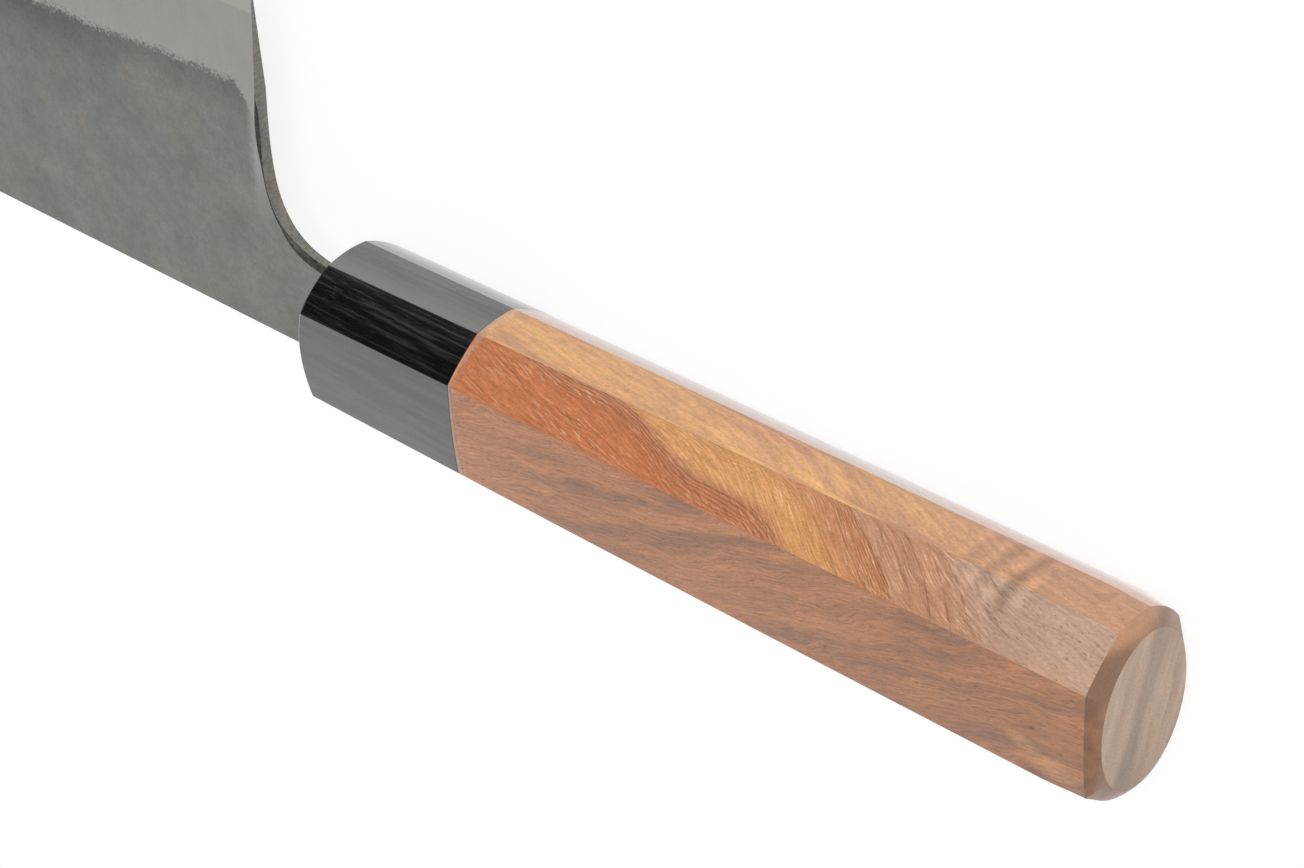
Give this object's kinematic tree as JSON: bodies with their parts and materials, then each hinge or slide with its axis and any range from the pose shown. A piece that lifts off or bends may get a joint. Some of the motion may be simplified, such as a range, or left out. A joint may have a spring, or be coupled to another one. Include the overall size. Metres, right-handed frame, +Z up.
{
  "type": "nakiri knife",
  "caption": "Straight-edged vegetable knife with a tall laminated blade, dark forged cheeks and an octagonal wooden handle with a black ferrule.",
  "frame": {"origin": "centre of the bounding box's underside, on the surface that the knife lies on", "axes": "+X along the handle from the blade to the butt, +Y from the spine to the cutting edge, +Z up out of the right cheek"},
  "size_m": [0.3038, 0.061, 0.0189],
  "materials": {
    "core_steel": "satin ground",
    "cladding_iron": "forge scale on the cheeks, satin ground bevel",
    "ferrule_wood": "satin, lengthwise grain",
    "grip_wood": "smooth oiled, lengthwise grain",
    "dowel_wood": "plain turned",
    "bedding": "set adhesive"
  },
  "bodies": {
    "root": {"core_steel": "core_steel", "right_cladding": "cladding_iron", "left_cladding": "cladding_iron", "ferrule": "ferrule_wood", "handle_body": "grip_wood", "tang_dowel": "dowel_wood", "tang_bedding": "bedding"}
  },
  "joints": []
}
